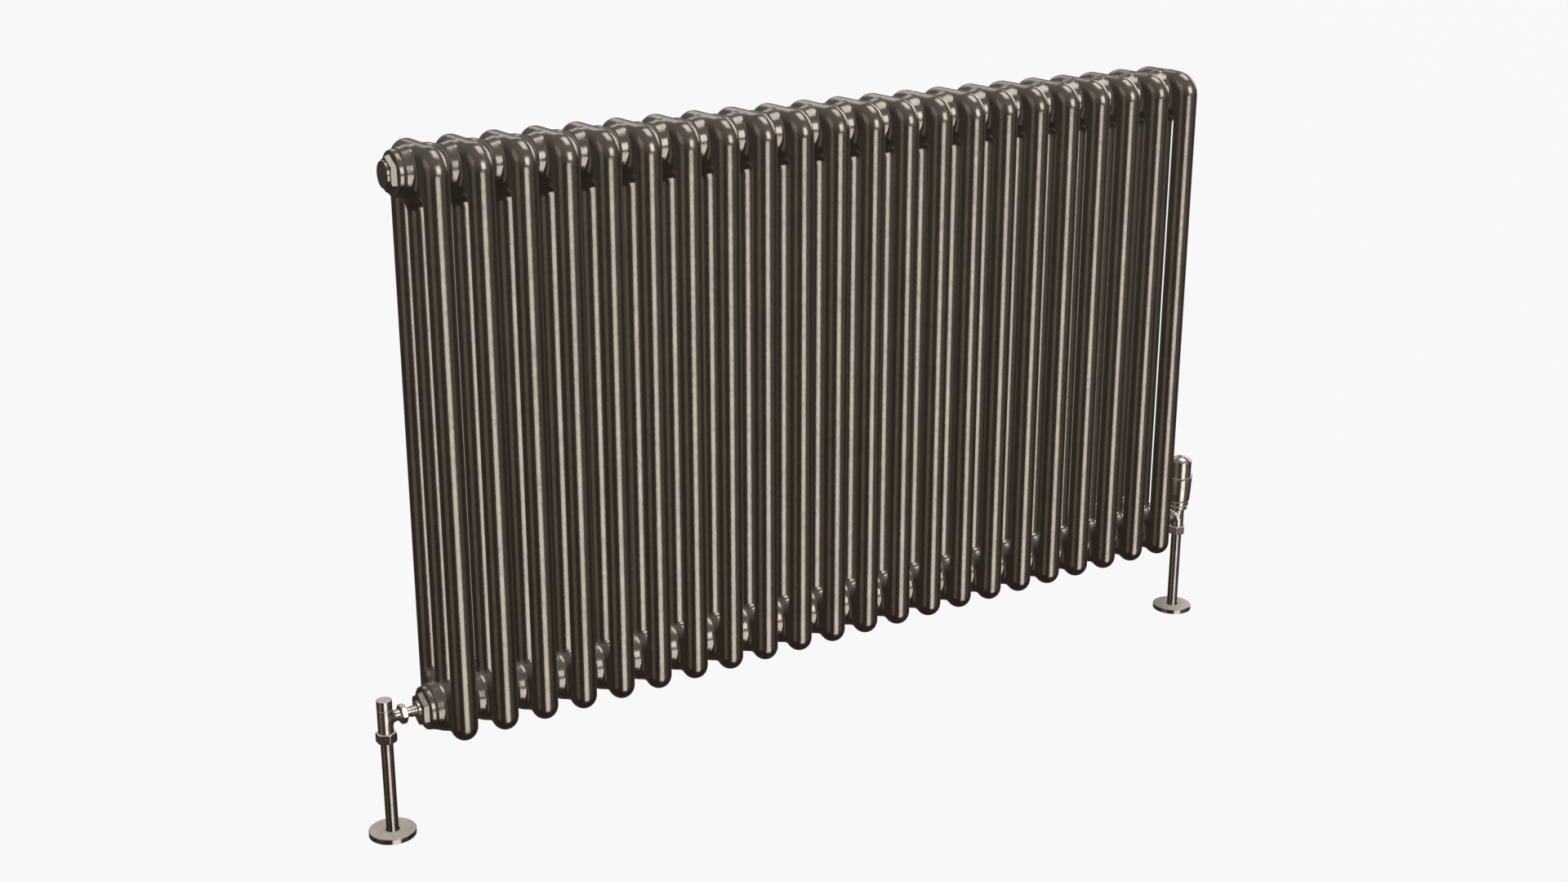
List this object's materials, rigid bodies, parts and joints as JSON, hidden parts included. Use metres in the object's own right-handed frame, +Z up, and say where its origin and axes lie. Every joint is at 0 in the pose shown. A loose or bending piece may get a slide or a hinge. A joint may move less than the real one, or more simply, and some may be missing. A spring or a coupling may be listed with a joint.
{
  "type": "column radiator",
  "caption": "Wall-hung three-column sectional radiator with angled thermostatic and lockshield valves, vertical pipes and floor collars.",
  "frame": {"origin": "on the floor, below the middle of the whole assembly", "axes": "+X along the radiator towards the thermostatic valve, +Y towards the wall, +Z up"},
  "size_m": [1.132, 0.1324, 0.702],
  "materials": {
    "lacquered_iron": "bare metal under clear lacquer, warm dark bronze",
    "bare_iron": "as cast",
    "fibre_gasket": "dark pressed fibre",
    "satin_nickel": "satin nickel plate",
    "nickel_pipe": "satin nickel plate, drawn tube",
    "bare_brass": "machined",
    "bracket_steel": "dark bronze powder coat",
    "screw_steel": "zinc plated",
    "valve_rubber": "moulded",
    "sensor_plastic": "moulded"
  },
  "bodies": {
    "radiator": {"air_vent": "lacquered_iron", "blanking_plug": "lacquered_iron", "bush_gaskets": "fibre_gasket", "clip_screws": "screw_steel", "compression_nuts": "satin_nickel", "floor_collars": "nickel_pipe", "left_lower_bush": "lacquered_iron", "left_pipe": "nickel_pipe", "left_upper_bush": "lacquered_iron", "lockshield_body": "satin_nickel", "lockshield_headwork": "bare_brass", "lower_joining_nipples": "bare_iron", "lower_joint_gaskets": "fibre_gasket", "olives": "bare_brass", "retaining_clips": "bracket_steel", "right_lower_bush": "lacquered_iron", "right_pipe": "nickel_pipe", "right_upper_bush": "lacquered_iron", "section_01": "lacquered_iron", "section_02": "lacquered_iron", "section_03": "lacquered_iron", "section_04": "lacquered_iron", "section_05": "lacquered_iron", "section_06": "lacquered_iron", "section_07": "lacquered_iron", "section_08": "lacquered_iron", "section_09": "lacquered_iron", "section_10": "lacquered_iron", "section_11": "lacquered_iron", "section_12": "lacquered_iron", "section_13": "lacquered_iron", "section_14": "lacquered_iron", "section_15": "lacquered_iron", "section_16": "lacquered_iron", "section_17": "lacquered_iron", "section_18": "lacquered_iron", "section_19": "lacquered_iron", "section_20": "lacquered_iron", "section_21": "lacquered_iron", "section_22": "lacquered_iron", "trv_body": "satin_nickel", "trv_head_base": "satin_nickel", "trv_insert": "bare_brass", "union_nuts": "satin_nickel", "upper_joining_nipples": "bare_iron", "upper_joint_gaskets": "fibre_gasket", "valve_tails": "satin_nickel", "wall_brackets": "bracket_steel"},
    "trv_head": {"trv_head_handle": "satin_nickel", "trv_head_cap": "satin_nickel"},
    "trv_plunger": {"trv_sensor": "sensor_plastic", "trv_pin": "screw_steel", "trv_disc": "valve_rubber", "trv_return_spring": "screw_steel"},
    "lockshield_cap": {"lockshield_cap": "satin_nickel"},
    "lockshield_spindle": {"lockshield_spindle": "bare_brass", "lockshield_plug": "bare_brass"},
    "bleed_screw": {"bleed_screw": "bare_brass"}
  },
  "joints": [
    {"name": "trv_head_turn", "type": "hinge", "parent": "radiator", "child": "trv_head", "pos_m": [0.5419, -0.015, 0.165], "axis": [0, 0, 1], "range_deg": [-150, 150]},
    {"name": "trv_pin_slide", "type": "slide", "parent": "radiator", "child": "trv_plunger", "axis": [0, 0, 1], "range_m": [-0.00131, 0.00131], "deforming": ["trv_return_spring"]},
    {"name": "lockshield_cap_lift", "type": "slide", "parent": "radiator", "child": "lockshield_cap", "axis": [0, 0, 1], "range_m": [0, 0.03]},
    {"name": "lockshield_spindle_turn", "type": "hinge", "parent": "radiator", "child": "lockshield_spindle", "pos_m": [-0.5419, -0.015, 0.14], "axis": [0, 0, 1], "range_deg": [-360, 360]},
    {"name": "bleed_screw_turn", "type": "hinge", "parent": "radiator", "child": "bleed_screw", "pos_m": [0.513, -0.015, 0.6745], "axis": [1, 0, 0], "range_deg": [0, 360]}
  ],
  "couplings": [
    {"joint": "trv_pin_slide", "follows": "trv_head_turn", "m_per_rad": 0.0005}
  ]
}
